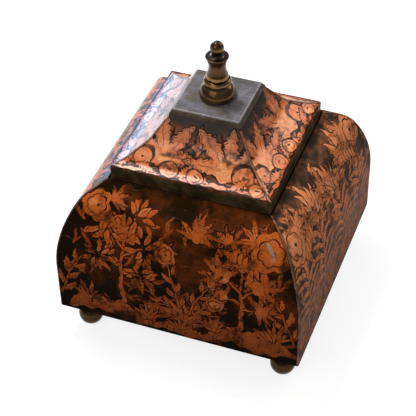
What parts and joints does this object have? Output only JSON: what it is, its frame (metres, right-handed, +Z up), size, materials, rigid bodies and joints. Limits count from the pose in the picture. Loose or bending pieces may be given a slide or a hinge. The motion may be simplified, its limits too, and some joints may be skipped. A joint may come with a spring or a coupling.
{
  "type": "turkish delight box",
  "caption": "Square lacquered metal sweets box with bowed walls, a coved lift-off lid, a turned brass finial and ball feet.",
  "frame": {"origin": "centre of the box on the surface that its four ball feet stand on", "axes": "+Z up through the finial, the front wall faces -Y, +X to the right seen from the front"},
  "size_m": [0.1808, 0.1808, 0.2174],
  "materials": {
    "copper_and_black_lacquer": "gloss varnish over copper-orange foliage on brown-black",
    "worn_seam": "worn lacquer over a soldered bead",
    "black_lacquer": "satin olive-black lacquer",
    "slate_lacquer": "satin slate-grey lacquer, brown at worn edges",
    "antique_brass": "dark antique patina, polished on the high spots",
    "plain_steel": "plain zinc-plated"
  },
  "bodies": {
    "box": {"front_panel": "copper_and_black_lacquer", "back_panel": "copper_and_black_lacquer", "left_panel": "copper_and_black_lacquer", "right_panel": "copper_and_black_lacquer", "front_left_seam": "worn_seam", "front_right_seam": "worn_seam", "back_right_seam": "worn_seam", "back_left_seam": "worn_seam", "mouth_ledge": "black_lacquer", "mouth_collar": "black_lacquer", "base_tray": "black_lacquer", "front_left_foot": "antique_brass", "front_right_foot": "antique_brass", "back_right_foot": "antique_brass", "back_left_foot": "antique_brass", "foot_screws": "plain_steel", "foot_washers": "plain_steel"},
    "lid": {"lid_front_panel": "copper_and_black_lacquer", "lid_back_panel": "copper_and_black_lacquer", "lid_left_panel": "copper_and_black_lacquer", "lid_right_panel": "copper_and_black_lacquer", "lid_front_left_hip": "worn_seam", "lid_front_right_hip": "worn_seam", "lid_back_right_hip": "worn_seam", "lid_back_left_hip": "worn_seam", "lid_rim": "black_lacquer", "lid_cap": "slate_lacquer", "finial": "antique_brass", "finial_stud": "plain_steel", "finial_washer": "plain_steel", "finial_nut": "plain_steel"}
  },
  "joints": [
    {"name": "lid_lift", "type": "slide", "parent": "box", "child": "lid", "axis": [0, 0, 1], "range_m": [0, 0.12]}
  ]
}
